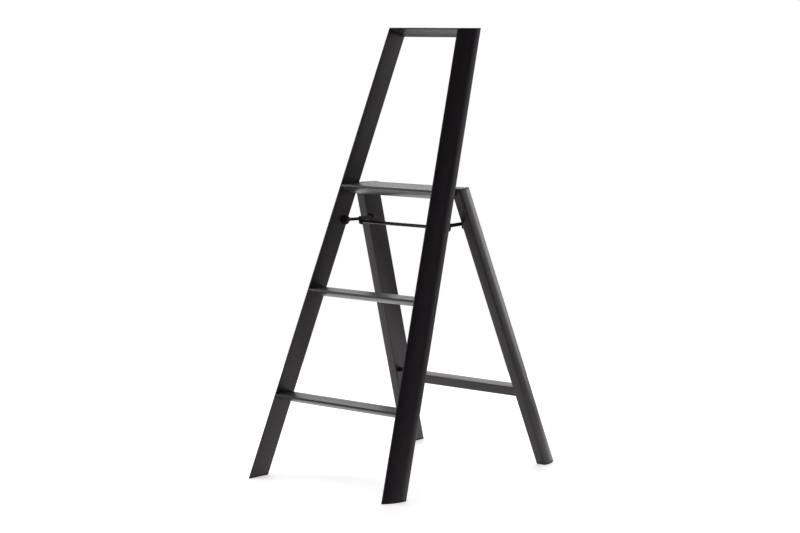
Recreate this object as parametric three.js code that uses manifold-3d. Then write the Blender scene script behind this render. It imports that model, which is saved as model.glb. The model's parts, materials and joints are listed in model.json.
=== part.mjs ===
// A slim folding ladder: two hollow D-section rails joined by a top rail, two treads and a
// platform, with a pair of rear legs hinged to the platform's ends and held by folding stays.
// Millimetres, +Z up, climber facing +Y. The origin is on the floor, midway between the feet.
import * as THREE from 'three';
import { mergeVertices } from 'three/addons/utils/BufferGeometryUtils.js';
import Module from 'manifold-3d';

const wasm = await Module();
wasm.setup();

// ---- driving dimensions -------------------------------------------------------------------
const HEIGHT = 1150; // floor to the top of the hand hoop
const LEAN = THREE.MathUtils.degToRad(20.3); // rails lean back, legs lean forward, by the same angle
const FOOT_SPREAD = 629.5; // front edge of the rails to front edge of the legs, on the floor
const HALF_INSIDE_FLOOR = 224; // centre to a rail's inner face, at the floor
const HALF_INSIDE_TOP = 113; // centre to a rail's inner face, at the top
const LEG_OFFSET = 3; // legs stand this much further out than the rails
const FIRST_STEP = 212.3; // floor to the top of the lowest tread
const STEP_PITCH = 266.5; // tread to tread, and tread to platform

// rail and leg section
const SECTION_DEPTH = 63; // front to back, square to the length
const THIN_EDGE = 3.5;
const THICK_EDGE = 27.5;
const FLAT_BELLY = 55; // from the thin edge to where the belly runs level
const CORNER = { belly: 4, flat: 2.5, thin: 0.8 }; // radii at the thick edge, and thin edge's chamfer
const WALL = 1.8;
const HOLLOW_START = 10; // solid metal from the thin edge to the hollow
const MITRE_WEB = 14; // solid metal left below the mitred corners

// treads and platform
const NOSE = 5; // thickness of the front edge
const TREAD_DEPTH = 61;
const TREAD_BELLY = 21; // greatest thickness of a tread
const PLATFORM_DEPTH = 138;
const TREAD_WALL = 2.4;
const GROOVE = { pitch: 5, width: 1.3, depth: 0.6, margin: 6 }; // grip grooves along each walking surface
const INSERT = 12; // how far the end inserts reach into a tread
const SCREW = {
  drop: 9.5, // axis below a tread's top
  insets: [26, 46], // behind a tread's nose
  shank: 2.5, // radius
  head: 4.8, // radius
  headHeight: 3,
  length: 11, // of the shank inboard of the tube's inner face
  hole: 18, // depth of its clearance hole
};
const CAP = { start: 68, thick: 4, plug: 30, plugStart: 20 }; // the platform's end caps

const SOLE = 4; // thickness of the rubber under each tube
const PLUG = 22; // how far plugs go into their tubes
const LEG_CAP = { lid: 3, plug: 12 }; // the lid on each leg, and how deep its plug reaches
const GAP = 0.3; // clearance between separate pieces
const HINGE = { drop: 11.5, pin: 4.5, head: 7, headHeight: 3.7, washer: 9, length: 24 };
const STAY = {
  drop: 93, // stay pivots, below the platform's top
  edge: 12.6, // stay pivots, in from the facing edges of rail and leg
  kneeDrop: 1.5, // the open knee sits this far under the line of its end pivots
  pin: 3, // radius
  plane: 151, // centre to the face where front and rear links meet; folded knees clear the rails
  front: { thick: 4.2, web: 8, eye: 7.5 }, // web: height of the link between its eyes
  rear: { thick: 2.4, web: 9.4, eye: 6.5 },
};
// upright pads with round ends, `rise` and `fall` from the pivot to the centres of those ends
const KNEE_BLOCK = { radius: 7, rise: 0, fall: 8.3, thick: 2 };
const FRONT_PAD = { radius: 8, rise: 2, fall: 5 };
const REAR_PAD = { radius: 6.5, rise: 0, fall: 7 };
const CROSS_BAR = { radius: 4.5, drop: 7, spigot: 2.5, seat: 1.8 };
const BRACE = { top: 226, height: 26.5, inset: 2.4, depth: 23, wall: 2, corner: 1.6, insert: 14 };

// ---- worked-out places --------------------------------------------------------------------
const PLATFORM_TOP = FIRST_STEP + 2 * STEP_PITCH;
const FRONT_Y = -(FOOT_SPREAD + SECTION_DEPTH / Math.cos(LEAN)) / 2; // rails' front edge, floor
const REAR_Y = FRONT_Y + FOOT_SPREAD; // legs' front edge, floor
const TAPER = Math.atan((HALF_INSIDE_FLOOR - HALF_INSIDE_TOP) / (HEIGHT / Math.cos(LEAN)));
const SLOPE = Math.tan(LEAN);
const HALF_SECTION_Y = SECTION_DEPTH / Math.cos(LEAN) / 2;
const railFrontY = (z) => FRONT_Y + z * SLOPE;
const railRearY = (z) => railFrontY(z) + 2 * HALF_SECTION_Y;
const legFrontY = (z) => REAR_Y - z * SLOPE;

const HINGE_Z = PLATFORM_TOP - HINGE.drop;
const HINGE_AT = { y: legFrontY(HINGE_Z) + HALF_SECTION_Y, z: HINGE_Z };
const STAY_Z = PLATFORM_TOP - STAY.drop;
const FRONT_PIVOT = { y: railRearY(STAY_Z) - STAY.edge, z: STAY_Z };
const REAR_PIVOT = { y: legFrontY(STAY_Z) + STAY.edge, z: STAY_Z };
const KNEE = { y: (FRONT_PIVOT.y + REAR_PIVOT.y) / 2, z: STAY_Z - STAY.kneeDrop };
const BAR_AT = { y: KNEE.y, z: KNEE.z - CROSS_BAR.drop };

// ---- materials ----------------------------------------------------------------------------
const finish = (color, roughness, metalness) =>
  new THREE.MeshStandardMaterial({ color, roughness, metalness });
const satinBlack = () => finish(0x242426, 0.32, 0.6); // painted aluminium
const blackPlastic = () => finish(0x19191a, 0.5, 0);
const blackRubber = () => finish(0x141414, 0.85, 0);
const steel = () => finish(0x8d8f92, 0.35, 0.9);

// ---- the two leaning frames, and planes in them -------------------------------------------
const ladder = new THREE.Group();
const frontFrame = new THREE.Group(); // local Y is square to the rails, local Z runs up them
frontFrame.position.y = FRONT_Y;
frontFrame.rotation.x = -LEAN;
const rearFrame = new THREE.Group();
rearFrame.position.y = REAR_Y;
rearFrame.rotation.x = LEAN;
ladder.add(frontFrame, rearFrame);
ladder.updateMatrixWorld(true);

const V = (x, y, z) => new THREE.Vector3(x, y, z);
const P = (x, y) => new THREE.Vector2(x, y);
const X = V(1, 0, 0);
const Y = V(0, 1, 0);
const Z = V(0, 0, 1);
const OUT = V(Math.cos(TAPER), 0, Math.sin(TAPER)); // square to a right tube's inner face
const UP_TUBE = V(-Math.sin(TAPER), 0, Math.cos(TAPER)); // along a right tube

const planeThrough = (point, normal) =>
  new THREE.Plane().setFromNormalAndCoplanarPoint(normal.clone().normalize(), point);
const level = (z) => new THREE.Plane(Z.clone(), -z);
const upright = (x) => new THREE.Plane(X.clone(), -x);
const toWorld = (plane, frame) => plane.clone().applyMatrix4(frame.matrixWorld);
const toFrame = (plane, frame) => plane.clone().applyMatrix4(frame.matrixWorld.clone().invert());
const mirrorPlane = (plane) =>
  new THREE.Plane(V(-plane.normal.x, plane.normal.y, plane.normal.z), plane.constant);
// where a plane is met by a line along X at height z and distance y
const xOn = (plane, { y, z }) =>
  -(plane.normal.y * y + plane.normal.z * z + plane.constant) / plane.normal.x;

// planes beside the inner face of a right rail or leg: `inward` is towards the ladder's middle
const insideTube = (floorX, inward) => planeThrough(V(floorX, 0, 0).addScaledVector(OUT, -inward), OUT);
const railInside = (inward = 0) => insideTube(HALF_INSIDE_FLOOR, inward);
const railInsideWorld = (inward = 0) => toWorld(railInside(inward), frontFrame);

// the legs' inner faces are LEG_OFFSET outside the rails' where the hinge axis crosses them
const hingeInLeg = rearFrame.worldToLocal(V(0, HINGE_AT.y, HINGE_AT.z));
const LEG_FLOOR_X = xOn(railInsideWorld(), HINGE_AT) + LEG_OFFSET + hingeInLeg.z * Math.tan(TAPER);
const legInside = (inward = 0) => insideTube(LEG_FLOOR_X, inward);
const legInsideWorld = (inward = 0) => toWorld(legInside(inward), rearFrame);

// ---- shape tools --------------------------------------------------------------------------
// A bar of constant section, cut off by a plane at each end. The section's points are measured
// along `across` and `over` from `origin`; the bar runs along `along`.
function bar({ outline, hole, origin, across, over, along, from, to }) {
  const leftHanded = across.clone().cross(over).dot(along) < 0;
  const loops = [outline, ...(hole ? [hole] : [])].map((loop, i) =>
    THREE.ShapeUtils.isClockWise(loop) === (i === 0) ? [...loop].reverse() : loop,
  );
  const section = loops.flat();
  const ends = [from, to].map((plane) =>
    section.map((p) => {
      const start = origin.clone().addScaledVector(across, p.x).addScaledVector(over, p.y);
      const reach = -plane.distanceToPoint(start) / plane.normal.dot(along);
      return start.addScaledVector(along, reach);
    }),
  );
  const count = section.length;
  const triangles = [];
  for (const [a, b, c] of THREE.ShapeUtils.triangulateShape(loops[0], loops.slice(1))) {
    triangles.push([c, b, a], [a + count, b + count, c + count]);
  }
  let first = 0;
  for (const loop of loops) {
    loop.forEach((_, i) => {
      const j = first + i;
      const k = first + ((i + 1) % loop.length);
      triangles.push([j, k, k + count], [j, k + count, j + count]);
    });
    first += loop.length;
  }
  const geometry = new THREE.BufferGeometry().setFromPoints(ends.flat());
  geometry.setIndex(triangles.flatMap((t) => (leftHanded ? t.reverse() : t)));
  return geometry;
}

// A bar along X whose section is drawn in Y and Z.
const barAlongX = (outline, from, to, hole) =>
  bar({ outline, hole, origin: V(0, 0, 0), across: Y, over: Z, along: X, from, to });

// A round piece turned about the X axis: its profile is a list of [x, radius].
function turned(profile, { y, z }, sides = 18) {
  const rim = profile.map(([x, radius]) => P(radius, x));
  const outline = [P(0, profile[0][0]), ...rim, P(0, profile.at(-1)[0])];
  const geometry = new THREE.LatheGeometry(outline, sides);
  geometry.rotateZ(-Math.PI / 2);
  return geometry.translate(0, y, z);
}
const pinAlongX = (radius, x0, x1, at, sides = 16) => turned([[x0, radius], [x1, radius]], at, sides);
const circle = (radius, { y, z } = { y: 0, z: 0 }) =>
  new THREE.Path().absarc(y, z, radius, 0, 2 * Math.PI).getPoints(18).slice(1);
function pad({ y, z }, { radius, rise, fall }) {
  const end = (centre, from) =>
    new THREE.Path().absarc(y, centre, radius, from, from + Math.PI).getPoints(8);
  return [...end(z + rise, 0), ...end(z - fall, Math.PI)];
}

function bare(geometry) {
  const copy = geometry.clone();
  for (const name of Object.keys(copy.attributes)) {
    if (name !== 'position') copy.deleteAttribute(name);
  }
  return mergeVertices(copy, 1e-4);
}

function toSolid(geometry) {
  const merged = bare(geometry);
  const index = merged.index.array;
  const kept = [];
  for (let i = 0; i < index.length; i += 3) {
    const [a, b, c] = [index[i], index[i + 1], index[i + 2]];
    if (a !== b && b !== c && c !== a) kept.push(a, b, c);
  }
  const vertProperties = Float32Array.from(merged.attributes.position.array);
  const mesh = new wasm.Mesh({ numProp: 3, vertProperties, triVerts: Uint32Array.from(kept) });
  return new wasm.Manifold(mesh);
}

function fromSolid(solid) {
  const mesh = solid.getMesh();
  const geometry = new THREE.BufferGeometry();
  geometry.setAttribute('position', new THREE.BufferAttribute(mesh.vertProperties, 3));
  geometry.setIndex(new THREE.BufferAttribute(mesh.triVerts, 1));
  return geometry;
}

const cut = (body, ...tools) =>
  fromSolid(tools.reduce((left, tool) => left.subtract(toSolid(tool)), toSolid(body)));
const join = (...bodies) =>
  fromSolid(bodies.map(toSolid).reduce((whole, body) => whole.add(body)));
const common = (a, b) => fromSolid(toSolid(a).intersect(toSolid(b)));
const inFrame = (geometry, frame) => geometry.clone().applyMatrix4(frame.matrixWorld.clone().invert());

function mirrored(geometry) {
  const copy = bare(geometry).scale(-1, 1, 1);
  copy.setIndex([...copy.index.array].reverse());
  return copy;
}

function piece(name, geometry, material, parent = ladder) {
  const flat = geometry.toNonIndexed();
  flat.computeVertexNormals();
  const mesh = new THREE.Mesh(flat, material);
  mesh.name = name;
  parent.add(mesh);
}

// The right-hand piece as drawn, and its mirror image on the left.
function pair(name, geometry, material, parent) {
  piece(`right_${name}`, geometry, material(), parent);
  piece(`left_${name}`, mirrored(geometry), material(), parent);
}

// ---- sections -----------------------------------------------------------------------------
// Every section is a flat face with a belly: `belly` runs from the thin edge to the far end.
const roundedCorner = (before, corner, after) =>
  new THREE.QuadraticBezierCurve(before, corner, after).getPoints(4);

function railBelly() {
  const [depth, thick, r] = [SECTION_DEPTH, THICK_EDGE, CORNER.belly];
  const swell = new THREE.QuadraticBezierCurve(
    P(0, THIN_EDGE),
    P(FLAT_BELLY / 2, thick),
    P(FLAT_BELLY, thick),
  );
  const corner = roundedCorner(P(depth - r, thick), P(depth, thick), P(depth, thick - r));
  return [...swell.getPoints(12), ...corner];
}

function treadBelly() {
  const [depth, thick] = [TREAD_DEPTH, TREAD_BELLY];
  const nose = P(-NOSE * SLOPE, NOSE);
  const swell = new THREE.QuadraticBezierCurve(nose, P(20, thick), P(40, thick));
  const heel = roundedCorner(P(depth - 8, thick), P(depth, thick), P(depth, 12));
  return [...swell.getPoints(10), ...heel, ...treadHeel(depth)];
}

function platformBelly() {
  const nose = P(-NOSE * SLOPE, NOSE);
  const swell = new THREE.CubicBezierCurve(nose, P(33, 32), P(92, 34), P(130, 20));
  const heel = roundedCorner(P(130, 20), P(PLATFORM_DEPTH, 16), P(PLATFORM_DEPTH, 11));
  return [...swell.getPoints(16), ...heel.slice(1), ...treadHeel(PLATFORM_DEPTH)];
}
const treadHeel = (depth) => roundedCorner(P(depth, 5), P(depth, 0), P(depth - 5, 0));

// A tube section: flat on the inner side, belly on the outer. The hollow follows the belly.
function tubeSection(thickAtBack) {
  const turn = (p) => (thickAtBack ? p : P(SECTION_DEPTH - p.x, p.y));
  const { flat: r, thin } = CORNER;
  const heel = roundedCorner(P(SECTION_DEPTH, r), P(SECTION_DEPTH, 0), P(SECTION_DEPTH - r, 0));
  return {
    outline: [...railBelly(), ...heel, P(thin, 0), P(0, thin)].map(turn),
    hole: hollowUnder(railBelly(), WALL, HOLLOW_START, SECTION_DEPTH - WALL).map(turn),
  };
}

// The hollow under a belly, from `start` to `end` behind the thin edge.
function hollowUnder(belly, wall, start, end) {
  const swollen = 24; // up to here the belly slopes, and the wall is measured straight down
  const roof = belly
    .filter((p) => p.x > start && p.x < end - 1 && p.y > 3 * wall)
    .map((p) => P(p.x, p.y - wall * (p.x < swollen ? 1.35 : 1.1)));
  const front = roof[0];
  const rearTop = Math.min(roof.at(-1).y, 11);
  return [P(start, wall), P(start, front.y - (front.x - start)), ...roof, P(end, rearTop), P(end, wall)];
}

// A plug's section: the hollow, smaller by `by` all round.
function shrunk(hole, by) {
  const box = new THREE.Box2().setFromPoints(hole);
  const size = box.getSize(P(0, 0));
  const middle = box.getCenter(P(0, 0));
  const closer = (value, centre, span) => centre + (value - centre) * (1 - (2 * by) / span);
  return hole.map((p) => P(closer(p.x, middle.x, size.x), closer(p.y, middle.y, size.y)));
}

function grooved(belly, depth) {
  const top = [];
  for (let v = GROOVE.margin; v < depth - GROOVE.margin - 2; v += GROOVE.pitch) {
    const end = v + GROOVE.width;
    top.push(P(v, 0), P(v, GROOVE.depth), P(end, GROOVE.depth), P(end, 0));
  }
  return [P(0, 0), ...top, ...[...belly].reverse()];
}

// ---- rails, legs and their feet -----------------------------------------------------------
const RAIL = tubeSection(true);
const LEG = tubeSection(false);
const railTube = { origin: V(HALF_INSIDE_FLOOR, 0, 0), across: Y, over: OUT, along: UP_TUBE };
const legTube = { ...railTube, origin: V(LEG_FLOOR_X, 0, 0) };

const TOP_INSIDE = HEIGHT / Math.cos(LEAN) - THIN_EDGE; // underside of the top rail, up the rails
const MITRE_POINT = V(HALF_INSIDE_FLOOR - TOP_INSIDE * Math.tan(TAPER), 0, TOP_INSIDE);
const MITRE_NORMAL = V(1 + Math.sin(TAPER), 0, -Math.cos(TAPER)).normalize();
const mitre = (shift) =>
  planeThrough(MITRE_POINT.clone().addScaledVector(MITRE_NORMAL, shift), MITRE_NORMAL);

// A screw through a tube's inner wall, along the wall's own normal: `at` is on the inner face.
function alongWallNormal(profile, at) {
  const body = turned(profile, { y: 0, z: 0 }, 10);
  body.rotateY(-TAPER);
  return body.translate(at.x, at.y, at.z);
}
function screwAt(at) {
  const { shank, head, headHeight, length } = SCREW;
  const seat = WALL + GAP;
  const point = [[-length - 1, shank - 0.8], [-length, shank]];
  const crown = WALL + headHeight;
  const top = [[seat, shank], [seat, head], [crown, head], [crown + 0.6, head - 0.8]];
  return alongWallNormal([...point, ...top], at);
}
function screwHoleAt(at) {
  const radius = SCREW.shank + GAP;
  return alongWallNormal([[-SCREW.hole, radius], [2 * WALL, radius]], at);
}
const onTube = (floorX, depth, up) => V(floorX, depth, 0).addScaledVector(UP_TUBE, up / Math.cos(TAPER));

// Two screws hold each tread end, behind the nose and at the hollow's mid height.
function treadScrews(top) {
  return SCREW.insets.map((inset) => {
    const local = frontFrame.worldToLocal(V(0, railFrontY(top) + inset, top - SCREW.drop));
    return onTube(HALF_INSIDE_FLOOR, local.y, local.z);
  });
}
const TREADS = ['lower_tread', 'middle_tread', 'platform'].map((name, i) => {
  const top = FIRST_STEP + i * STEP_PITCH;
  return { name, top, screws: treadScrews(top) };
});
const braceScrew = onTube(LEG_FLOOR_X, BRACE.inset + BRACE.depth / 2, BRACE.top - BRACE.height / 2);

function rails() {
  const bottom = toFrame(level(SOLE), frontFrame);
  const outer = bar({ ...railTube, outline: RAIL.outline, from: bottom, to: mitre(GAP / 2) });
  const below = toFrame(level(-SOLE), frontFrame);
  const hollow = bar({ ...railTube, outline: RAIL.hole, from: below, to: mitre(MITRE_WEB) });
  const wide = 400;
  const aboveHoop = new THREE.BoxGeometry(wide, wide, 100).translate(0, 150, HEIGHT + 50);
  const pivotHole = pinAlongX(STAY.pin + GAP, 120, 175, FRONT_PIVOT);
  const tools = [aboveHoop, pivotHole].map((tool) => inFrame(tool, frontFrame));
  const screwHoles = TREADS.flatMap(({ screws }) => screws.map(screwHoleAt));
  pair('rail', cut(outer, hollow, ...tools, ...screwHoles), satinBlack, frontFrame);
}

// The top rail's section: level on top, square to the rails behind and below.
function topRail() {
  const [depth, thin] = [SECTION_DEPTH, CORNER.thin];
  const rear = THIN_EDGE + depth * SLOPE;
  const below = roundedCorner(P(depth - CORNER.flat, 0), P(depth, 0), P(depth, CORNER.flat));
  const behind = roundedCorner(
    P(depth, rear - CORNER.belly),
    P(depth, rear),
    P(depth - CORNER.belly, rear - CORNER.belly * SLOPE),
  );
  const front = [P(thin, THIN_EDGE + thin * SLOPE), P(0, THIN_EDGE - thin), P(0, thin)];
  const outline = [P(thin, 0), ...below, ...behind, ...front];
  const [start, end] = [16, depth - WALL];
  const under = (v) => THIN_EDGE + v * SLOPE - 1.3 * WALL; // WALL below the sloping top
  const roof = [P(end, under(end) - 2), P(end - 2, under(end - 2)), P(start, under(start))];
  const hole = [P(start, WALL), P(end, WALL), ...roof];
  const run = { origin: V(0, 0, TOP_INSIDE), across: Y, over: Z, along: X };
  const ends = { from: mirrorPlane(mitre(-GAP / 2)), to: mitre(-GAP / 2) };
  piece('top_rail', bar({ ...run, ...ends, outline, hole }), satinBlack(), frontFrame);
}

function legs() {
  const at = (z) => toFrame(level(z), rearFrame);
  const lidUnder = PLATFORM_TOP - LEG_CAP.lid;
  const tube = bar({ ...legTube, outline: LEG.outline, hole: LEG.hole, from: at(SOLE), to: at(lidUnder) });
  const wallEnd = xOn(legInsideWorld(), HINGE_AT) + 5;
  const hingeHole = inFrame(pinAlongX(HINGE.pin + GAP, 130, wallEnd, HINGE_AT, 18), rearFrame);
  pair('leg', cut(tube, hingeHole, screwHoleAt(braceScrew)), satinBlack, rearFrame);

  const lid = bar({ ...legTube, outline: LEG.outline, from: at(lidUnder + GAP), to: at(PLATFORM_TOP) });
  const plug = bar({
    ...legTube,
    outline: shrunk(LEG.hole, GAP),
    from: at(PLATFORM_TOP - LEG_CAP.plug),
    to: at(PLATFORM_TOP - 1),
  });
  const pinRoom = inFrame(pinAlongX(HINGE.head + 1, 130, 175, HINGE_AT, 18), rearFrame);
  pair('leg_cap', cut(join(lid, plug), pinRoom), blackPlastic, rearFrame);
}

function foot(name, tube, section, frame) {
  const at = (z) => toFrame(level(z), frame);
  const sole = bar({ ...tube, outline: section.outline, from: at(0), to: at(SOLE - GAP) });
  const plug = bar({ ...tube, outline: shrunk(section.hole, GAP), from: at(1), to: at(SOLE + PLUG) });
  pair(name, join(sole, plug), blackRubber, frame);
}

// ---- treads and platform ------------------------------------------------------------------
// A bar across the ladder whose section hangs from a tread's front top edge.
function acrossLadder(top, outline, from, to, hole) {
  const origin = V(0, railFrontY(top), top);
  return bar({ outline, hole, origin, across: Y, over: V(0, 0, -1), along: X, from, to });
}
const betweenRails = [mirrorPlane(railInsideWorld(GAP)), railInsideWorld(GAP)];

function treadInserts({ name, top, screws }, hollow) {
  const insert = acrossLadder(top, shrunk(hollow, GAP), railInsideWorld(INSERT), railInsideWorld(GAP));
  const holes = screws.map((at) => screwHoleAt(at).applyMatrix4(frontFrame.matrixWorld));
  pair(`${name}_insert`, cut(insert, ...holes), blackPlastic);
  screws.forEach((at, i) => pair(`${name}_screw_${i + 1}`, screwAt(at), steel, frontFrame));
}

function treads() {
  const outline = grooved(treadBelly(), TREAD_DEPTH);
  const hole = hollowUnder(treadBelly(), TREAD_WALL, 12, TREAD_DEPTH - TREAD_WALL);
  for (const tread of TREADS.slice(0, 2)) {
    piece(tread.name, acrossLadder(tread.top, outline, ...betweenRails, hole), satinBlack());
    treadInserts(tread, hole);
  }
}

// The platform fills the space between the rails and runs back between the legs, where its
// ends are closed by plastic caps that carry the leg hinge pins.
function platform() {
  const top = PLATFORM_TOP;
  const hollowStart = 16;
  const outline = grooved(platformBelly(), PLATFORM_DEPTH);
  const hole = hollowUnder(platformBelly(), TREAD_WALL, hollowStart, PLATFORM_DEPTH - TREAD_WALL);
  const block = (start) => [P(start, -5), P(160, -5), P(160, 40), P(start, 40)];
  const relief = acrossLadder(top, block(CAP.start), railInsideWorld(CAP.thick + GAP), railInsideWorld(-40));
  const deck = cut(acrossLadder(top, outline, ...betweenRails, hole), relief, mirrored(relief));
  piece('platform', deck, satinBlack());
  treadInserts(TREADS[2], hollowUnder(platformBelly(), TREAD_WALL, hollowStart, CAP.start - 6));

  const smooth = [P(0, 0), ...[...platformBelly()].reverse()];
  const plate = acrossLadder(top, smooth, railInsideWorld(CAP.thick), railInsideWorld(GAP));
  const plug = acrossLadder(
    top,
    shrunk(hole, GAP),
    railInsideWorld(CAP.plug),
    railInsideWorld(CAP.thick - 1),
  );
  const behind = (start) => acrossLadder(top, block(start), upright(50), upright(200));
  const platePart = common(plate, behind(CAP.start + GAP));
  const plugPart = common(plug, behind(CAP.start + CAP.plugStart));
  const bore = pinAlongX(HINGE.pin + GAP, 110, 200, HINGE_AT, 18);
  pair('platform_cap', cut(join(platePart, plugPart), bore), blackPlastic);
}

// ---- leg hinge, brace and stays -----------------------------------------------------------
function legHinge() {
  const end = xOn(railInsideWorld(GAP), HINGE_AT) - HINGE.length;
  const headFrom = xOn(legInsideWorld(), HINGE_AT) + WALL + 1;
  const headTo = headFrom + HINGE.headHeight;
  const shank = [[end, HINGE.pin - 1], [end + 1, HINGE.pin], [headFrom, HINGE.pin]];
  const head = [[headFrom, HINGE.head], [headTo - 1, HINGE.head], [headTo, HINGE.head - 1]];
  pair('hinge_pin', turned([...shank, ...head], HINGE_AT), steel);

  const washer = barAlongX(
    circle(HINGE.washer, HINGE_AT),
    railInsideWorld(0),
    railInsideWorld(-1.9),
    circle(HINGE.pin + GAP, HINGE_AT),
  );
  pair('hinge_washer', washer, blackPlastic);
}

function rearBrace() {
  const { top, height, inset, depth, wall, corner } = BRACE;
  const box = (shrink) => {
    const [low, high] = [top - height + shrink, top - shrink];
    const [front, back] = [inset + shrink, inset + depth - shrink];
    const side = (x, y0, y1) => [P(x, y0), P(x, y1)];
    const level = (y, x0, x1) => [P(x0, y), P(x1, y)];
    return [
      ...side(front, low + corner, high - corner),
      ...level(high, front + corner, back - corner),
      ...side(back, high - corner, low + corner),
      ...level(low, back - corner, front + corner),
    ];
  };
  const tube = barAlongX(box(0), mirrorPlane(legInside(GAP)), legInside(GAP), box(wall));
  piece('rear_brace', tube, satinBlack(), rearFrame);
  const insert = barAlongX(box(wall + GAP), legInside(BRACE.insert), legInside(GAP));
  pair('brace_insert', cut(insert, screwHoleAt(braceScrew)), blackPlastic, rearFrame);
  pair('brace_screw', screwAt(braceScrew), steel, rearFrame);
}

// A flat link: a straight web with a round eye at each end, in the plane square to X.
function link(from, to, eyes, web, { x0, x1 }, extras = []) {
  const flat = (outline) => barAlongX(outline, upright(x0), upright(x1));
  const run = P(to.y - from.y, to.z - from.z).normalize();
  const side = P(-run.y, run.x).multiplyScalar(web / 2);
  const [a, b] = [P(from.y, from.z), P(to.y, to.z)];
  const above = [a.clone().add(side), b.clone().add(side)];
  const below = [b.clone().sub(side), a.clone().sub(side)];
  const bodies = [flat([...above, ...below]), flat(circle(eyes[0], from)), flat(circle(eyes[1], to))];
  const holes = [from, to].map((at) => pinAlongX(STAY.pin + GAP, x0 - 1, x1 + 1, at));
  return cut(join(...bodies, ...extras), ...holes);
}

// where the stays' layers lie along X, from the middle outwards
const FRONT_LINK = { x0: STAY.plane - GAP / 2 - STAY.front.thick, x1: STAY.plane - GAP / 2 };
const REAR_LINK = { x0: STAY.plane + GAP / 2, x1: STAY.plane + GAP / 2 + STAY.rear.thick };
const KNEE_FACE = FRONT_LINK.x0 - KNEE_BLOCK.thick;

// The front link's knee block reaches below the pivot, where it holds the cross bar.
function frontLinks() {
  const knee = barAlongX(pad(KNEE, KNEE_BLOCK), upright(KNEE_FACE), upright(FRONT_LINK.x1));
  const eyes = [STAY.front.eye, KNEE_BLOCK.radius];
  const body = link(FRONT_PIVOT, KNEE, eyes, STAY.front.web, FRONT_LINK, [knee]);
  const spigotEnd = KNEE_FACE + CROSS_BAR.seat + GAP + 0.4;
  const spigotHole = pinAlongX(CROSS_BAR.spigot + GAP, KNEE_FACE - 1, spigotEnd, BAR_AT);
  const kneeHole = pinAlongX(STAY.pin + GAP, KNEE_FACE - 1, FRONT_LINK.x0 + 1, KNEE);
  pair('front_link', cut(body, spigotHole, kneeHole), blackPlastic);
}

// Front pivots: a boss on the rail's inner face, and a rivet through rail, boss and link.
function frontPivots() {
  const hole = circle(STAY.pin + GAP, FRONT_PIVOT);
  const outline = pad(FRONT_PIVOT, FRONT_PAD);
  const boss = barAlongX(outline, upright(REAR_LINK.x0), railInsideWorld(GAP), hole);
  pair('front_boss', boss, blackPlastic);
  const railFace = xOn(railInsideWorld(0), FRONT_PIVOT);
  const headEnd = FRONT_LINK.x0 - GAP;
  const tailStart = railFace + WALL + 0.8;
  const head = [[headEnd - 2, 3.5], [headEnd - 1.4, 5.2], [headEnd, 5.5]];
  const shank = [[headEnd, STAY.pin], [tailStart, STAY.pin]];
  const tail = [[tailStart, 4.6], [tailStart + 2, 4.2]];
  pair('front_pivot_rivet', turned([...head, ...shank, ...tail], FRONT_PIVOT), steel);
}

// Knee pins have no heads: outside they clear the folded rails, inside the end of the cross bar.
function kneePins() {
  const recess = 0.2;
  const chamfer = 0.5;
  const start = KNEE_FACE + recess;
  const profile = [[start, STAY.pin - chamfer], [start + chamfer, STAY.pin], [REAR_LINK.x1 - recess, STAY.pin]];
  pair('knee_pin', turned(profile, KNEE), steel);
}

// Rear pivots: a boss that stands off the leg's inner face, riveted to the rear link.
function rearLinks() {
  const eyes = [KNEE_BLOCK.radius, STAY.rear.eye];
  pair('rear_link', link(KNEE, REAR_PIVOT, eyes, STAY.rear.web, REAR_LINK), blackPlastic);
  const headEnd = REAR_LINK.x0 - GAP;
  const seatFrom = REAR_LINK.x1 + GAP;
  const shank = barAlongX(circle(STAY.pin, REAR_PIVOT), upright(headEnd - 1), upright(seatFrom + 1));
  const clearOfLeg = 2.4; // the stays' loop is open here
  const seat = barAlongX(pad(REAR_PIVOT, REAR_PAD), upright(seatFrom), legInsideWorld(clearOfLeg));
  const head = turned([[headEnd - 2, 3.6], [headEnd - 1.4, 5], [headEnd, 5.2]], REAR_PIVOT);
  pair('rear_boss', join(seat, shank, head), blackPlastic);
}

function crossBar() {
  const { radius, spigot, seat } = CROSS_BAR;
  const shoulder = KNEE_FACE - GAP;
  const tip = KNEE_FACE + seat;
  const half = [[shoulder, radius], [shoulder, spigot], [tip, spigot]];
  const otherHalf = half.map(([x, r]) => [-x, r]).reverse();
  piece('cross_bar', turned([...otherHalf, ...half], BAR_AT), satinBlack());
}

rails();
topRail();
foot('front_foot', railTube, RAIL, frontFrame);
treads();
platform();
legs();
foot('rear_foot', legTube, LEG, rearFrame);
legHinge();
rearBrace();
frontLinks();
frontPivots();
kneePins();
rearLinks();
crossBar();

export default ladder;
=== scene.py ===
# Looks for a slim folding ladder: fine surfaces, materials, studio light and camera around the
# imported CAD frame. Metres, +Z up, climber facing +Y, origin on the floor between the feet.
import json
import math

import bmesh
import bpy
from mathutils import Matrix, Vector
from mathutils.geometry import interpolate_bezier


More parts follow.
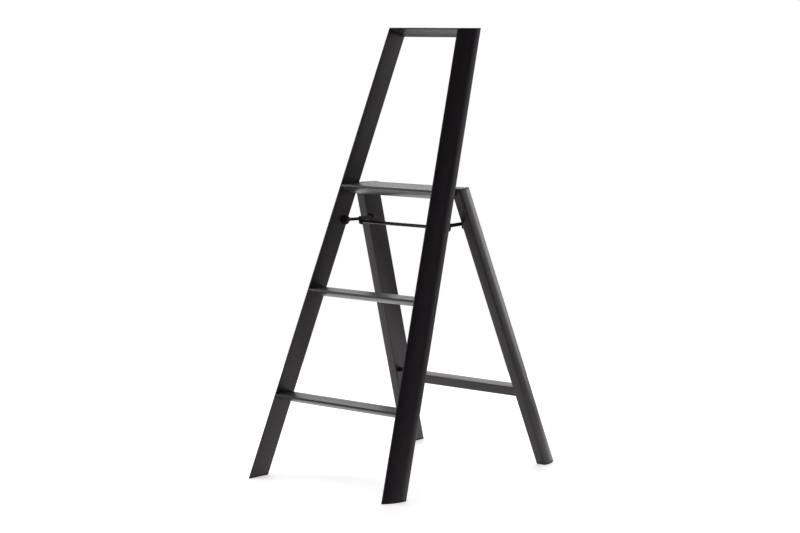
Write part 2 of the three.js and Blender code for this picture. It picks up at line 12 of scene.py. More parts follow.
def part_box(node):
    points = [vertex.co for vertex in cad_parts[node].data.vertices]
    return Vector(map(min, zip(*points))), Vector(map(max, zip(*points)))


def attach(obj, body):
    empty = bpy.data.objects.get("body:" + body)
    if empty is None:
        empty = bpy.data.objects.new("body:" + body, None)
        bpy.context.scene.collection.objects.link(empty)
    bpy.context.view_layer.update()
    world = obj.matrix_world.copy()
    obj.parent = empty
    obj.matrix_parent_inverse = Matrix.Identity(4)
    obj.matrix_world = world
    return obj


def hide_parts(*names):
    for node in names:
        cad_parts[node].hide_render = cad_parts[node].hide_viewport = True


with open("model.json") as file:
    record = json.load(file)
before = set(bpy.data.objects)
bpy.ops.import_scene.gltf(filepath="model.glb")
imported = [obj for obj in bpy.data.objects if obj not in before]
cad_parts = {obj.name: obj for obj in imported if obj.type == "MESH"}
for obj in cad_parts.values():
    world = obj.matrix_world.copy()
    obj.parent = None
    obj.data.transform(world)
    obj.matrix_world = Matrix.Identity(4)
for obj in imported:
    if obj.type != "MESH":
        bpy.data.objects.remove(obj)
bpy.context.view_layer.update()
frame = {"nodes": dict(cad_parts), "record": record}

# ---- driving sizes, as in the CAD part ------------------------------------------------------
MM = 0.001
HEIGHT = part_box("top_rail")[1][2]
LEAN = math.radians(20.3)  # rails lean back and legs lean forward, by the same angle
FOOT_SPREAD = 629.5 * MM  # front edge of the rails to front edge of the legs, on the floor
HALF_INSIDE_FLOOR = 224 * MM  # middle to a rail's inner face, at the floor
HALF_INSIDE_TOP = 113 * MM  # the same at the top
LEG_OFFSET = 3 * MM  # legs stand this much further out than the rails
SECTION_DEPTH = 63 * MM
THIN_EDGE = 3.5 * MM
THICK_EDGE = 27.5 * MM
FLAT_BELLY = 55 * MM  # from the thin edge to where the belly runs level
BELLY_CORNER = 4 * MM
FLAT_CORNER = 2.5 * MM
NOSE = 5 * MM  # thickness of a tread's front edge
TREAD_DEPTH = 61 * MM
TREAD_BELLY = 21 * MM  # greatest thickness of a tread
PLATFORM_DEPTH = 138 * MM
GRIP_END = 14 * MM  # no groove starts nearer than this to a tread's rear edge
SOLE = 4 * MM
GAP = 0.3 * MM  # clearance between separate pieces
STEP_TOPS = {name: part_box(name)[1][2] for name in ("lower_tread", "middle_tread", "platform")}
PLATFORM_TOP = STEP_TOPS["platform"]
BRACE = {"top": 226 * MM, "height": 26.5 * MM, "inset": 2.4 * MM, "depth": 23 * MM, "corner": 1.8 * MM}

SLOPE = math.tan(LEAN)
FRONT_Y = -(FOOT_SPREAD + SECTION_DEPTH / math.cos(LEAN)) / 2
REAR_Y = FRONT_Y + FOOT_SPREAD
TAPER = math.atan((HALF_INSIDE_FLOOR - HALF_INSIDE_TOP) * math.cos(LEAN) / HEIGHT)


def middle(node):
    low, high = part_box(node)
    return Vector([(low[k] + high[k]) / 2 for k in range(3)])


HINGE = middle("right_hinge_pin")
FRONT_PIVOT = middle("right_front_pivot_rivet")
KNEE = middle("right_knee_pin")
REAR_PIVOT = Vector((0, -FRONT_PIVOT.y, FRONT_PIVOT.z))
CROSS_BAR = middle("cross_bar")
# upright pads with round ends: rise and fall run from the pivot to the centres of those ends
KNEE_PAD = {"radius": 7 * MM, "rise": 0, "fall": 8.3 * MM, "thick": 2 * MM}
FRONT_PAD = {"radius": 8 * MM, "rise": 2 * MM, "fall": 5 * MM}
REAR_PAD = {"radius": 6.5 * MM, "rise": 0, "fall": 7 * MM}
FRONT_WEB, REAR_WEB = 8 * MM, 9.4 * MM  # height of each link between its eyes
PIVOT_EYE = 7.5 * MM
GROOVE = {"first": 6 * MM, "pitch": 5 * MM, "width": 1.3 * MM, "depth": 0.6 * MM, "slant": 0.15 * MM}
DECK_CAP = {"start": 68 * MM, "thick": 4 * MM}
LEG_CAP = {"thick": 3 * MM, "seam": 0.15 * MM}
WASHER = {"radius": 9 * MM, "thick": 1.9 * MM}
PIN_HOLE = 4.8 * MM
REAR_BOSS = {"clear_of_leg": 2.4 * MM, "head": 5.2 * MM, "shank": 3 * MM}
FRONT_RIVET = {"radius": 5.5 * MM, "height": 2 * MM}
KNEE_RIVET = {"radius": 2.9 * MM, "height": 0.5 * MM}

# ---- directions -----------------------------------------------------------------------------
ORIGIN = Vector((0, 0, 0))
X, Y, Z = Vector((1, 0, 0)), Vector((0, 1, 0)), Vector((0, 0, 1))


class Leaning:
    """The directions of one leaning pair of tubes: rails (sign -1) or rear legs (sign +1)."""

    def __init__(self, sign, foot_y, inside_floor):
        turn = Matrix.Rotation(sign * LEAN, 3, "X")
        self.foot = Vector((0, foot_y, 0))
        self.back = turn @ Y
        self.up = turn @ Z
        self.out = math.cos(TAPER) * X + math.sin(TAPER) * self.up
        self.along = -math.sin(TAPER) * X + math.cos(TAPER) * self.up
        self.corner = self.foot + inside_floor * X

    def inner_face(self, inward=0.0):
        """The plane of the right tube's inner face, moved towards the ladder's middle."""
        return self.corner - inward * self.out, self.out

    def inner_x(self, y, z):
        """How far out the inner face is at height z and distance y."""
        away = Vector((0, y, z)) - self.corner
        return -away.dot(self.out) / self.out.x


RAILS = Leaning(-1, FRONT_Y, HALF_INSIDE_FLOOR)
# the legs' inner faces are LEG_OFFSET outside the rails' where the hinge axis crosses them
centred_legs = Leaning(1, REAR_Y, 0)
leg_floor = RAILS.inner_x(HINGE.y, HINGE.z) + LEG_OFFSET - centred_legs.inner_x(HINGE.y, HINGE.z)
LEGS = Leaning(1, REAR_Y, leg_floor)


# A plane is a point and a normal.
def level(z):
    return Vector((0, 0, z)), Z


def flipped(plane):
    return plane[0], -plane[1]


def mirrored(plane):
    """The plane's mirror image, on the other side of the ladder."""
    point, normal = plane
    return Vector((-point.x, point.y, point.z)), Vector((-normal.x, normal.y, normal.z))


# ---- shape tools ----------------------------------------------------------------------------
def curve(a, b, c, steps):
    """Points on a quadratic curve from a to c, drawn towards b."""
    a, b, c = (Vector((*p, 0)) for p in (a, b, c))
    points = interpolate_bezier(a, a + (b - a) * 2 / 3, c + (b - c) * 2 / 3, c, steps)
    return [(p.x, p.y) for p in points]


def rounded(corners, steps=5):
    """A closed outline. Each corner is (x, y) or (x, y, radius), and a radius rounds it."""
    outline = []
    count = len(corners)
    for i, (x, y, *radius) in enumerate(corners):
        if not radius:
            outline.append((x, y))
            continue
        here = Vector((x, y))
        before = (Vector(corners[i - 1][:2]) - here).normalized()
        after = (Vector(corners[(i + 1) % count][:2]) - here).normalized()
        half = before.angle(after) / 2
        reach = radius[0] / math.tan(half)
        outline += curve(here + before * reach, here, here + after * reach, steps)
    return outline


def new_object(name, bm):
    mesh = bpy.data.meshes.new(name)
    bm.to_mesh(mesh)
    bm.free()
    obj = bpy.data.objects.new(name, mesh)
    bpy.context.collection.objects.link(obj)
    return obj


def bar(name, outline, origin, across, over, along, cuts):
    """A solid bar of constant section, cut off by planes; each plane keeps its own back side."""
    reach = 3.0  # metres each way, well past every cut
    bm = bmesh.new()
    ends = []
    for shift in (-reach, reach):
        ends.append([bm.verts.new(origin + across * x + over * y + along * shift) for x, y in outline])
    count = len(outline)
    for i in range(count):
        j = (i + 1) % count
        bm.faces.new((ends[0][i], ends[0][j], ends[1][j], ends[1][i]))
    bm.faces.new(ends[0])
    bm.faces.new(ends[1])
    for point, normal in cuts:
        everything = bm.verts[:] + bm.edges[:] + bm.faces[:]
        bmesh.ops.bisect_plane(bm, geom=everything, plane_co=point, plane_no=normal, clear_outer=True)
        rim = [e for e in bm.edges if e.is_boundary]
        if rim:
            bmesh.ops.contextual_create(bm, geom=rim)
    bmesh.ops.recalc_face_normals(bm, faces=bm.faces[:])
    return new_object(name, bm)


def turned(name, profile, centre, segments=48):
    """A round piece turned about a line along X: profile is a list of (x, radius)."""
    bm = bmesh.new()
    rings = []
    for x, radius in profile:
        ring = []
        for k in range(segments):
            angle = 2 * math.pi * k / segments
            y, z = centre.y + radius * math.cos(angle), centre.z + radius * math.sin(angle)
            ring.append(bm.verts.new((x, y, z)))
        rings.append(ring)
    for a, b in zip(rings, rings[1:]):
        for k in range(segments):
            j = (k + 1) % segments
            bm.faces.new((a[k], a[j], b[j], b[k]))
    bm.faces.new(rings[0])
    bm.faces.new(rings[-1])
    bmesh.ops.recalc_face_normals(bm, faces=bm.faces[:])
    return new_object(name, bm)


def soften(obj, width, segments=2, angle=32):
    """Smooth shading between flat faces, with a small rounded bevel along sharp edges."""
    mesh = obj.data
    mesh.polygons.foreach_set("use_smooth", [True] * len(mesh.polygons))
    mesh.set_sharp_from_angle(angle=math.radians(angle))
    if width:
        bevel = obj.modifiers.new("edges", "BEVEL")
        bevel.width = width
        bevel.segments = segments
        bevel.limit_method = "ANGLE"
        bevel.angle_limit = math.radians(angle)
        bevel.use_clamp_overlap = True
        bevel.harden_normals = True


def boolean(obj, other, operation):
    """Joins or cuts obj by other, and removes other."""
    modifier = obj.modifiers.new("shape", "BOOLEAN")
    modifier.operation = operation
    modifier.solver = "EXACT"
    modifier.object = other
    bpy.context.view_layer.update()
    shaped = bpy.data.meshes.new_from_object(obj.evaluated_get(bpy.context.evaluated_depsgraph_get()))
    obj.modifiers.clear()
    obj.data = shaped
    bpy.data.objects.remove(other)
    return obj


def mirror_copy(obj, name):
    """The left-hand twin of a right-hand piece."""
    mesh = obj.data.copy()
    mesh.transform(Matrix.Scale(-1, 4, X))
    mesh.flip_normals()
    copy = bpy.data.objects.new(name, mesh)
    bpy.context.collection.objects.link(copy)
    return copy


def finish_piece(obj, body, node, material, bevel=0.0, segments=2):
    """Gives a piece its material and rounded edges and its body, and hides the CAD node it stands for.
    """
    obj.data.materials.clear()
    obj.data.materials.append(material)
    soften(obj, bevel, segments)
    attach(obj, body)
    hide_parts(node)


def pair(build, name, body, node, materials, bevel=0.0, segments=2):
    """Builds the right-hand piece and its mirror image, each standing for its own CAD node."""
    right = build(f"{name}_right")
    left = mirror_copy(right, f"{name}_left")
    finish_piece(right, body, f"right_{node}", materials[0], bevel, segments)
    finish_piece(left, body, f"left_{node}", materials[-1], bevel, segments)


# ---- materials ------------------------------------------------------------------------------
class Nodes:
    """Short calls for building one material's node tree."""

    def __init__(self, name):
        self.material = bpy.data.materials.new(name)
        self.material.use_nodes = True
        self.tree = self.material.node_tree
        self.shader = next(n for n in self.tree.nodes if n.type == "BSDF_PRINCIPLED")

    def add(self, kind, **values):
        node = self.tree.nodes.new(kind)
        for key, value in values.items():
            setattr(node, key, value)
        return node

    def link(self, source, target):
        self.tree.links.new(source, target)

    def place(self, scale, along=None):
        """Object coordinates times scale; with `along`, turned so that local Z runs along it."""
        coordinates = self.add("ShaderNodeTexCoord").outputs["Object"]
        if along is not None:
            turn = self.add("ShaderNodeVectorRotate", rotation_type="EULER_XYZ", invert=True)
            turn.inputs["Rotation"].default_value = along.to_track_quat("Z", "X").to_euler()
            self.link(coordinates, turn.inputs["Vector"])
            coordinates = turn.outputs[0]
        stretch = self.add("ShaderNodeVectorMath", operation="MULTIPLY")
        stretch.inputs[1].default_value = scale
        self.link(coordinates, stretch.inputs[0])
        return stretch.outputs[0]

    def noise(self, vector, detail=3.0, rough=0.5):
        """A noise with one feature to each unit of the vector."""
        node = self.add("ShaderNodeTexNoise")
        node.inputs["Scale"].default_value = 1.0
        node.inputs["Detail"].default_value = detail
        node.inputs["Roughness"].default_value = rough
        self.link(vector, node.inputs["Vector"])
        return node.outputs[0]

    def spread(self, value, low, high, from_low=0.3, from_high=0.7):
        """The value's range from_low to from_high, stretched to run from low to high."""
        node = self.add("ShaderNodeMapRange")
        node.inputs["From Min"].default_value = from_low
        node.inputs["From Max"].default_value = from_high
        node.inputs["To Min"].default_value = low
        node.inputs["To Max"].default_value = high
        self.link(value, node.inputs["Value"])
        return node.outputs[0]

    def mix(self, factor, a, b):
        node = self.add("ShaderNodeMix", data_type="RGBA")
        for name, value in (("Factor", factor), ("A", a), ("B", b)):
            if isinstance(value, bpy.types.NodeSocket):
                self.link(value, node.inputs[name])
            else:
                node.inputs[name].default_value = value
        return node.outputs["Result"]

    def bump(self, height, strength, distance, under=None):
        node = self.add("ShaderNodeBump")
        node.inputs["Strength"].default_value = strength
        node.inputs["Distance"].default_value = distance
        self.link(height, node.inputs["Height"])
        if under is not None:
            self.link(under, node.inputs["Normal"])
        return node.outputs[0]


def plum(tone):
    """A near-black with a trace of magenta."""
    return (tone * 1.5, tone, tone * 1.5, 1)


def grey(tone, warm=0.0):
    return (tone * (1 + warm), tone, tone * (1 - warm), 1)


def coat(name, along, wear=0.0):
    """Satin black coating on an extrusion that runs along `along`."""
    m = Nodes(name)
    cloud = m.noise(m.place((9, 9, 9)), 4)
    speckle = m.noise(m.place((1400, 1400, 1400)), 2)
    drawn = m.noise(m.place((900, 900, 4), along), 3)
    scuff = m.noise(m.place((60, 60, 9), along), 5, 0.7)
    base = m.mix(m.spread(cloud, 0, 1), plum(0.0050), plum(0.0075))
    base = m.mix(m.spread(speckle, 0, 0.5, 0.45, 0.75), base, grey(0.012))
    rough = m.add("ShaderNodeMath", operation="ADD")
    m.link(m.spread(scuff, 0.30, 0.37), rough.inputs[0])
    m.link(m.spread(drawn, -0.015, 0.02), rough.inputs[1])
    if wear:
        edge = m.add("ShaderNodeNewGeometry").outputs["Pointiness"]
        worn = m.spread(edge, 0, wear, 0.53, 0.62)
        base = m.mix(worn, base, grey(0.09, 0.02))
    m.link(base, m.shader.inputs["Base Color"])
    m.link(rough.outputs[0], m.shader.inputs["Roughness"])
    m.shader.inputs["IOR"].default_value = 1.46
    m.shader.inputs["Specular Tint"].default_value = (1.0, 0.93, 0.965, 1)
    peel = m.bump(m.noise(m.place((520, 520, 520)), 2), 0.10, 0.0004)
    lines = m.bump(drawn, 0.05, 0.0002, peel)
    m.link(lines, m.shader.inputs["Normal"])
    return m.material


def plastic(name):
    """Moulded black plastic with a fine spark-eroded grain."""
    m = Nodes(name)
    cloud = m.noise(m.place((40, 40, 40)), 3)
    grain = m.noise(m.place((1600, 1600, 1600)), 2)
    m.link(m.mix(m.spread(cloud, 0, 1), grey(0.005), grey(0.0075)), m.shader.inputs["Base Color"])
    m.link(m.spread(grain, 0.46, 0.6), m.shader.inputs["Roughness"])
    m.shader.inputs["IOR"].default_value = 1.36
    m.link(m.bump(grain, 0.25, 0.0003), m.shader.inputs["Normal"])
    return m.material


def rubber(name):
    """Dull black rubber, a little dusty."""
    m = Nodes(name)
    dust = m.noise(m.place((120, 120, 120)), 5, 0.65)
    grain = m.noise(m.place((1100, 1100, 1100)), 3)
    dusty = m.mix(m.spread(dust, 0, 0.6, 0.5, 0.8), grey(0.010), grey(0.05, 0.03))
    m.link(dusty, m.shader.inputs["Base Color"])
    m.link(m.spread(dust, 0.72, 0.9), m.shader.inputs["Roughness"])
    m.link(m.bump(grain, 0.35, 0.0004), m.shader.inputs["Normal"])
    return m.material


def metal(name, color, roughness):
    """Plated or blackened steel, turned about X."""
    m = Nodes(name)
    turned_lines = m.noise(m.place((2200, 60, 60)), 3)
    patch = m.noise(m.place((300, 300, 300)), 3)
    dark = tuple(c * 0.75 for c in color[:3]) + (1,)
    m.link(m.mix(m.spread(patch, 0, 1), dark, color), m.shader.inputs["Base Color"])
    m.shader.inputs["Metallic"].default_value = 1.0
    m.link(m.spread(turned_lines, roughness - 0.07, roughness + 0.07), m.shader.inputs["Roughness"])
    m.link(m.bump(turned_lines, 0.08, 0.0002), m.shader.inputs["Normal"])
    return m.material


def left_of(direction):
    return Vector((-direction.x, direction.y, direction.z))


RAIL_COATS = (coat("rail_coat_right", RAILS.along), coat("rail_coat_left", left_of(RAILS.along)))
LEG_COATS = (coat("leg_coat_right", LEGS.along), coat("leg_coat_left", left_of(LEGS.along)))
CROSS_COAT = coat("cross_coat", X)
TREAD_COAT = coat("tread_coat", X, wear=0.5)
PLASTIC = plastic("moulded_black")
RUBBER = rubber("foot_rubber")
ZINC = metal("zinc_steel", (0.55, 0.55, 0.56, 1), 0.34)
BLACK_STEEL = metal("black_steel", (0.05, 0.05, 0.053, 1), 0.38)

# ---- sections -------------------------------------------------------------------------------
def tube_outline(thick_at_back):
    """The D section of rails and legs: depth back, then out from the flat inner side."""
    swell = curve((0, THIN_EDGE), (FLAT_BELLY / 2, THICK_EDGE), (FLAT_BELLY, THICK_EDGE), 28)
    corners = [(0, 0, 0.8 * MM), (*swell[0], 1.1 * MM), *swell[1:]]
    corners += [(SECTION_DEPTH, THICK_EDGE, BELLY_CORNER), (SECTION_DEPTH, 0, FLAT_CORNER)]
    outline = rounded(corners)
    if thick_at_back:
        return outline
    return [(SECTION_DEPTH - x, y) for x, y in reversed(outline)]


def step_outline(depth, belly, grooved=True):
    """A walking surface: flat grooved top, thin nose, rounded belly. Depth back, then down."""
    corners = [(0, 0, 1.1 * MM)]
    count = int((depth - GRIP_END) / GROOVE["pitch"]) + 1 if grooved else 0
    for k in range(count):
        start = GROOVE["first"] + k * GROOVE["pitch"]
        end = start + GROOVE["width"]
        floor = [(start + GROOVE["slant"], GROOVE["depth"]), (end - GROOVE["slant"], GROOVE["depth"])]
        corners += [(start, 0), *floor, (end, 0)]
    corners += [(depth, 0, 5 * MM), *belly, (-NOSE * SLOPE, NOSE, 1.2 * MM)]
    return rounded(corners, 6)


def tread_outline():
    heel_end = (TREAD_DEPTH - 8 * MM, TREAD_BELLY)
    heel = curve((TREAD_DEPTH, 12 * MM), (TREAD_DEPTH, TREAD_BELLY), heel_end, 9)
    nose = (-NOSE * SLOPE, NOSE)
    swell = curve((40 * MM, TREAD_BELLY), (20 * MM, TREAD_BELLY), nose, 26)
    return step_outline(TREAD_DEPTH, heel + swell[:-1])


def platform_outline(grooved=True):
    """Like a tread, but its belly is one curve from the heel, deepest near the middle."""
    heel = curve((PLATFORM_DEPTH, 11 * MM), (PLATFORM_DEPTH, 16 * MM), (130 * MM, 20 * MM), 9)
    nose = Vector((-NOSE * SLOPE, NOSE, 0))
    handles = [Vector((130, 20, 0)) * MM, Vector((92, 34, 0)) * MM, Vector((33, 32, 0)) * MM, nose]
    swell = [(p.x, p.y) for p in interpolate_bezier(*handles, 40)]
    return step_outline(PLATFORM_DEPTH, heel + swell[1:-1], grooved)


RAIL_OUTLINE = tube_outline(True)
LEG_OUTLINE = tube_outline(False)

# ---- rails, legs, feet ----------------------------------------------------------------------
# the hand hoop's upper inside corners, where rails and top rail are mitred
TOP_INSIDE = HEIGHT / math.cos(LEAN) - THIN_EDGE
HALF_TOP = HALF_INSIDE_FLOOR - TOP_INSIDE * math.tan(TAPER)
mitre_point = RAILS.foot + HALF_TOP * X + TOP_INSIDE * RAILS.up
mitre_normal = ((1 + math.sin(TAPER)) * X - math.cos(TAPER) * RAILS.up).normalized()


def mitre(shift):
    return mitre_point + shift * mitre_normal, mitre_normal


def tube(side, outline, cuts):
    """How to build a right-hand tube, or a slice of one, between its cuts."""
    def build(name):
        return bar(name, outline, side.corner, side.back, side.out, side.along, cuts)
    return build


MITRE_SEAM = 0.1 * MM
rail_cuts = [flipped(level(SOLE)), flipped(mitre(MITRE_SEAM)), level(HEIGHT)]
rail = tube(RAILS, RAIL_OUTLINE, rail_cuts)
pair(rail, "rail", "front_frame", "rail", RAIL_COATS, 0.3 * MM)


def top_rail():
    rear = THIN_EDGE + SECTION_DEPTH * SLOPE
    corners = [(0, 0, 0.8 * MM), (SECTION_DEPTH, 0, FLAT_CORNER), (SECTION_DEPTH, rear, BELLY_CORNER)]
    corners.append((0, THIN_EDGE, 1.1 * MM))
    cuts = [mitre(-MITRE_SEAM), mirrored(mitre(-MITRE_SEAM))]
    origin = RAILS.foot + TOP_INSIDE * RAILS.up
    obj = bar("hoop_top", rounded(corners), origin, RAILS.back, RAILS.up, X, cuts)
    finish_piece(obj, "front_frame", "top_rail", CROSS_COAT, 0.25 * MM)


top_rail()

LID = PLATFORM_TOP - LEG_CAP["thick"]
leg = tube(LEGS, LEG_OUTLINE, [flipped(level(SOLE)), level(LID)])
pair(leg, "rear_leg", "rear_frame", "leg", LEG_COATS, 0.3 * MM)
leg_cap = tube(LEGS, LEG_OUTLINE, [flipped(level(LID + LEG_CAP["seam"])), level(PLATFORM_TOP)])
pair(leg_cap, "leg_top_cap", "rear_frame", "leg_cap", (PLASTIC,), 0.5 * MM, 3)

FOOT_SEAM = 0.1 * MM
for side, outline, name, body in (
    (RAILS, RAIL_OUTLINE, "front_foot", "front_frame"),
    (LEGS, LEG_OUTLINE, "rear_foot", "rear_frame"),
):
    sole = tube(side, outline, [flipped(level(0)), level(SOLE - FOOT_SEAM)])
    pair(sole, f"{name}_sole", body, name, (RUBBER,), 0.6 * MM, 3)


# ---- treads and platform --------------------------------------------------------------------
def step(name, node, outline):
    top = STEP_TOPS[node]
    origin = Vector((0, FRONT_Y + top * SLOPE, top))
    ends = [RAILS.inner_face(GAP), mirrored(RAILS.inner_face(GAP))]
    return bar(name, outline, origin, Y, -Z, X, ends)


def treads():
    for name, node in (("tread_lower", "lower_tread"), ("tread_middle", "middle_tread")):
        tread = step(name, node, tread_outline())
        finish_piece(tread, "front_frame", node, TREAD_COAT)


def platform():
    """The deck, with its rear corners cut back for the end caps."""
    deck = step("deck", "platform", platform_outline())
    block = [(-1, -1), (1, -1), (1, 1), (-1, 1)]
    start = Vector((0, FRONT_Y + PLATFORM_TOP * SLOPE + DECK_CAP["start"], 0))
    beside_cap = RAILS.inner_face(DECK_CAP["thick"] + GAP)
    for side in (beside_cap, mirrored(beside_cap)):
        at = side[0].x
        end = Vector((at * 2, 0, 0)), X * math.copysign(1, at)
        cuts = [flipped(side), flipped((start, Y)), end]
        tool = bar("relief", block, Vector((0, 0, PLATFORM_TOP)), Y, Z, X, cuts)
        boolean(deck, tool, "DIFFERENCE")
    finish_piece(deck, "front_frame", "platform", TREAD_COAT)


treads()
platform()


# ---- hinge ----------------------------------------------------------------------------------
def bored(obj):
    """Cuts the hinge pin's hole, which runs along X through the right-hand piece."""
    start, end = HINGE.x - 50 * MM, HINGE.x + 50 * MM
    return boolean(obj, turned("bore", [(start, PIN_HOLE), (end, PIN_HOLE)], HINGE), "DIFFERENCE")


def platform_cap(name):
    top = Vector((0, FRONT_Y + PLATFORM_TOP * SLOPE, PLATFORM_TOP))
    start = top + (DECK_CAP["start"] + GAP) * Y
    inner_end = flipped(RAILS.inner_face(DECK_CAP["thick"]))
    cuts = [RAILS.inner_face(GAP), inner_end, flipped((start, Y))]
    return bored(bar(name, platform_outline(grooved=False), top, Y, -Z, X, cuts))


def hinge_washer(name):
    radius, sides = WASHER["radius"], 48
    angles = [2 * math.pi * k / sides for k in range(sides)]
    outline = [(HINGE.y + radius * math.cos(a), HINGE.z + radius * math.sin(a)) for a in angles]
    cuts = [RAILS.inner_face(-WASHER["thick"]), flipped(RAILS.inner_face(0))]
    return bored(bar(name, outline, ORIGIN, Y, Z, X, cuts))


def moulding(build, name, body, node, bevel, segments=3):
    """A pair in moulded black plastic."""
    pair(build, name, body, node, (PLASTIC,), bevel, segments)


moulding(platform_cap, "deck_cap", "front_frame", "platform_cap", 0.5 * MM)
moulding(hinge_washer, "spacer", "front_frame", "hinge_washer", 0.3 * MM, 2)


# ---- brace and stays ------------------------------------------------------------------------
def brace():
    low, high = BRACE["top"] - BRACE["height"], BRACE["top"]
    front, back = BRACE["inset"], BRACE["inset"] + BRACE["depth"]
    places = ((front, low), (back, low), (back, high), (front, high))
    corners = [(y, z, BRACE["corner"]) for y, z in places]
    ends = [LEGS.inner_face(GAP), mirrored(LEGS.inner_face(GAP))]
    obj = bar("brace", rounded(corners, 6), LEGS.foot, LEGS.back, LEGS.up, X, ends)
    finish_piece(obj, "rear_frame", "rear_brace", CROSS_COAT)


brace()


def eyes_and_web(start, end, radii, web):
    """The side outline of a link: two round eyes joined by a straight web."""
    run = Vector((end.y - start.y, end.z - start.z))
    heading = math.atan2(run.y, run.x)
    outline, steps = [], 32
    for centre, radius, turn in ((end, radii[1], heading), (start, radii[0], heading + math.pi)):
        half = math.pi - math.asin(min(1, web / 2 / radius))
        for k in range(steps + 1):
            angle = turn - half + 2 * half * k / steps
            outline.append((centre.y + radius * math.cos(angle), centre.z + radius * math.sin(angle)))
    return outline


def plate(name, outline, x0, x1):
    return bar(name, outline, ORIGIN, Y, Z, X, [(x1 * X, X), (x0 * X, -X)])


def pad(centre, size):
    """An upright outline with round ends around a pivot."""
    half, low, high = size["radius"], centre.z - size["fall"], centre.z + size["rise"]
    outline, steps = [], 16
    for middle_z, start in ((high, 0), (low, math.pi)):
        for k in range(steps + 1):
            angle = start + math.pi * k / steps
            outline.append((centre.y + half * math.cos(angle), middle_z + half * math.sin(angle)))
    return outline


def front_link(name):
    """The arm and, on its inner side, the deeper block at the knee."""
    low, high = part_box("right_front_link")
    outline = eyes_and_web(FRONT_PIVOT, KNEE, (PIVOT_EYE, KNEE_PAD["radius"]), FRONT_WEB)
    arm = plate(name, outline, low[0] + KNEE_PAD["thick"], high[0])
    knee = plate("knee", pad(KNEE, KNEE_PAD), low[0], high[0] - 0.02 * MM)
    return boolean(arm, knee, "UNION")


def rear_link(name):
    low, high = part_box("right_rear_link")
    outline = eyes_and_web(KNEE, REAR_PIVOT, (KNEE_PAD["radius"], REAR_PAD["radius"]), REAR_WEB)
    return plate(name, outline, low[0], high[0])


def cross_bar():
    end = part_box("right_front_link")[0][0] - GAP
    low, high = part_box("cross_bar")
    radius, chamfer = (high[2] - low[2]) / 2, 0.6 * MM
    right_end = [(end - chamfer, radius), (end, radius - chamfer)]
    left_end = [(-end, radius - chamfer), (-end + chamfer, radius)]
    obj = turned("lift_bar", left_end + right_end, CROSS_BAR, 64)
    finish_piece(obj, "lock_bar", "cross_bar", CROSS_COAT)


def dome(x_face, x_top, radius):
    """A rivet head's profile, from its crown at x_top to its rim at x_face."""
    steps = 6
    rise = x_face - x_top
    points = []
    for k in range(1, steps + 1):
        angle = math.pi / 2 * k / steps
        points.append((x_face - rise * math.cos(angle), radius * math.sin(angle)))
    return points


def front_boss(name):
    low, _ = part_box("right_front_boss")
    cuts = [RAILS.inner_face(GAP), (low[0] * X, -X)]
    return bar(name, pad(FRONT_PIVOT, FRONT_PAD), ORIGIN, Y, Z, X, cuts)


def rear_boss(name):
    """The round-ended block beside the leg and, through the link, its riveted head."""
    low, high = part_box("right_rear_link")
    cuts = [LEGS.inner_face(REAR_BOSS["clear_of_leg"]), ((high[0] + GAP) * X, -X)]
    seat = bar(name, pad(REAR_PIVOT, REAR_PAD), ORIGIN, Y, Z, X, cuts)
    head = dome(low[0] - GAP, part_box("right_rear_boss")[0][0], REAR_BOSS["head"])
    shank = [(low[0], REAR_BOSS["shank"]), (high[0] + 1 * MM, REAR_BOSS["shank"])]
    return boolean(seat, turned("head", head + shank, REAR_PIVOT), "UNION")


def rivet(name, body, node, centre, size):
    """A pair of domed rivet heads, which face the middle of the ladder."""
    def build(piece_name):
        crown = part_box(f"right_{node}")[0][0]
        face = crown + size["height"]
        neck = (face + 0.8 * MM, size["radius"] * 0.6)
        return turned(piece_name, [*dome(face, crown, size["radius"]), neck], centre)
    pair(build, name, body, node, (BLACK_STEEL,))


moulding(front_link, "stay_front", "lock_bar", "front_link", 0.7 * MM)
moulding(rear_link, "stay_rear", "rear_links", "rear_link", 0.6 * MM)
cross_bar()
moulding(front_boss, "pivot_boss", "front_frame", "front_boss", 0.7 * MM)
moulding(rear_boss, "rear_pivot_boss", "rear_links", "rear_boss", 0.5 * MM)
rivet("pivot_rivet", "front_frame", "front_pivot_rivet", FRONT_PIVOT, FRONT_RIVET)
rivet("knee_rivet", "lock_bar", "knee_pin", KNEE, KNEE_RIVET)


def dress_cad_nodes():
    """Gives every CAD node the material of its slot, since some of them stay visible."""
    finishes = {
        "black_plastic": PLASTIC,
        "steel": ZINC,
        "black_steel": BLACK_STEEL,
        "rubber": RUBBER,
        "satin_black": CROSS_COAT,
    }
    for part in frame["record"]["subparts"]:
        mesh = frame["nodes"][part["node"]].data
        mesh.materials.clear()
        mesh.materials.append(finishes[part["material_slot"]])


dress_cad_nodes()

# ---- studio ---------------------------------------------------------------------------------
FLOOR_REACH = 1.4
FLOOR_GLOW = 0.46
CAMERA = {"place": (3.6156, -4.2287, 1.1836), "azimuth": 40.64, "pitch": 6.65, "lens": 97.16}
AIM = (0, 0, 0.5)
# name, place, what it points at, width and height, watts
LIGHTS = (
    ("top", (0, 0, 3.2), AIM, (3.4, 3.4), 50),
    ("back_left", (-2.4, 3.0, 1.3), AIM, (4.0, 2.4), 30),
    ("back_left_high", (-1.7, 2.2, 3.0), AIM, (2.0, 2.0), 46),
    ("left", (-3.6, 0.2, 1.3), AIM, (3.0, 2.2), 26),
    ("left_low", (-2.2, -1.2, 1.6), (-0.8, -0.4, 0), (1.0, 1.0), 16),
    ("front_left", (-2.5, -2.5, 2.2), AIM, (2.0, 2.0), 1),
    ("back", (0.25, 3.6, 1.0), AIM, (1.4, 1.8), 18),
    ("back_right", (2.3, 2.9, 0.9), AIM, (1.8, 1.6), 10),
    ("right", (3.8, 0, 1.3), AIM, (2.4, 2.4), 4),
    ("front", (-0.4, -3.8, 1.3), AIM, (2.4, 2.4), 27),
)


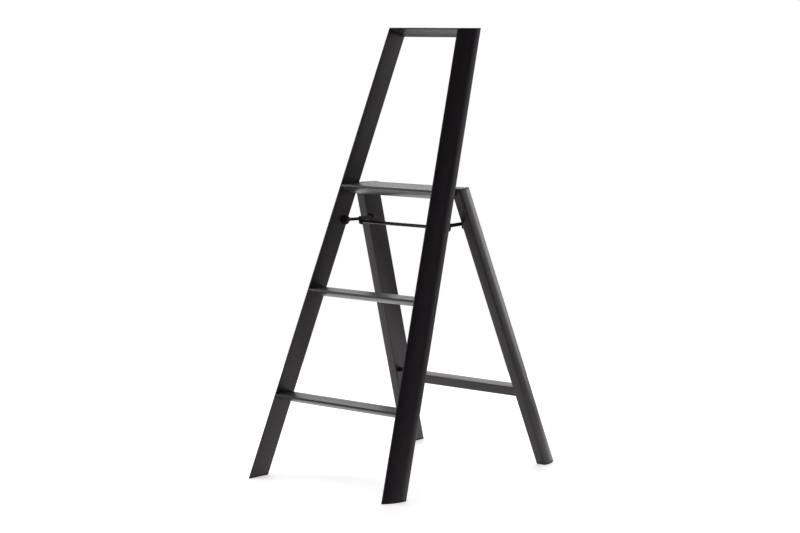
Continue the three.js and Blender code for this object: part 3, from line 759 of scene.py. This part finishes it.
def camera():
    data = bpy.data.cameras.new("camera")
    data.sensor_width = 36
    data.lens = CAMERA["lens"]
    data.clip_end = 50
    obj = bpy.data.objects.new("camera", data)
    obj.location = CAMERA["place"]
    tilt = math.pi / 2 - math.radians(CAMERA["pitch"])
    obj.rotation_euler = (tilt, 0, math.radians(CAMERA["azimuth"]))
    bpy.context.collection.objects.link(obj)
    bpy.context.scene.camera = obj


def area(name, place, target, size, power):
    data = bpy.data.lights.new(name, "AREA")
    data.shape = "RECTANGLE"
    data.size, data.size_y = size
    data.energy = power
    obj = bpy.data.objects.new(name, data)
    obj.location = place
    obj.rotation_euler = (Vector(target) - Vector(place)).to_track_quat("-Z", "Y").to_euler()
    obj.visible_camera = False
    bpy.context.collection.objects.link(obj)


def floor():
    """A white floor with a faint glow, which grows towards +X, where the lights are weaker."""
    bm = bmesh.new()
    bmesh.ops.create_grid(bm, x_segments=2, y_segments=2, size=FLOOR_REACH)
    sheet = new_object("floor", bm)
    white = Nodes("floor_white")
    shader = white.shader
    shader.inputs["Roughness"].default_value = 0.9
    tone = white.noise(white.place((3, 3, 3)), 2)
    white.link(white.mix(white.spread(tone, 0, 1), grey(0.86), grey(0.88)), shader.inputs["Base Color"])
    axes = white.add("ShaderNodeSeparateXYZ")
    white.link(white.place((1, 1, 1)), axes.inputs[0])
    white.link(white.spread(axes.outputs["X"], 1, 1.7, 0.4, 1.3), shader.inputs["Emission Color"])
    shader.inputs["Emission Strength"].default_value = FLOOR_GLOW
    sheet.data.materials.append(white.material)
    sheet.location.z = -0.5 * MM


def backdrop():
    """White where the camera sees past the floor, and almost no light from there."""
    world = bpy.data.worlds.new("studio")
    bpy.context.scene.world = world
    world.use_nodes = True
    tree = world.node_tree
    background = tree.nodes["Background"]
    path = tree.nodes.new("ShaderNodeLightPath")
    mix = tree.nodes.new("ShaderNodeMix")
    mix.data_type = "RGBA"
    tree.links.new(path.outputs["Is Camera Ray"], mix.inputs["Factor"])
    mix.inputs["A"].default_value = grey(0.02)
    mix.inputs["B"].default_value = grey(1)
    tree.links.new(mix.outputs["Result"], background.inputs["Color"])
    background.inputs["Strength"].default_value = 1.0


camera()
floor()
backdrop()
for light in LIGHTS:
    area(*light)
bpy.context.scene.view_settings.view_transform = "Standard"
